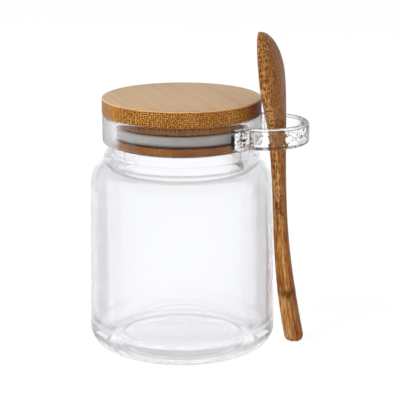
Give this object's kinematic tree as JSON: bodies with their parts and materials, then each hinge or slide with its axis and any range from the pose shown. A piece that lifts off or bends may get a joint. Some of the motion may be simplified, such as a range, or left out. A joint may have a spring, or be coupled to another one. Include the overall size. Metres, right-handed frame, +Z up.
{
  "type": "jam pot",
  "caption": "Clear glass jam jar with a glass loop on its neck that holds a bamboo spoon upright, and a round bamboo stopper lid with a silicone seal.",
  "frame": {"origin": "on the jar's axis at its underside", "axes": "+Z up along the jar's axis, +X towards the spoon loop"},
  "size_m": [0.1003, 0.085, 0.1472],
  "materials": {
    "glass": "clear, fire polished",
    "bamboo_lid": "sanded, lightly oiled",
    "bamboo_spoon": "smooth, oiled",
    "silicone": "matte, translucent white"
  },
  "bodies": {
    "jar": {"jar_body": "glass", "spoon_loop": "glass"},
    "seal": {"seal_ring": "silicone"},
    "lid": {"lid_top": "bamboo_lid", "plug_upper": "bamboo_lid", "plug_lower": "bamboo_lid"},
    "spoon": {"spoon": "bamboo_spoon"}
  },
  "joints": [
    {"name": "lid_lift", "type": "slide", "parent": "jar", "child": "seal", "axis": [0, 0, 1], "range_m": [0, 0.03]},
    {"name": "lid_turn", "type": "hinge", "parent": "seal", "child": "lid", "pos_m": [0, 0, 0.1006], "axis": [0, 0, 1], "continuous": true},
    {"name": "spoon_lift", "type": "slide", "parent": "jar", "child": "spoon", "axis": [-0.0199, -0.0768, 0.9969], "range_m": [0, 0.11]}
  ]
}
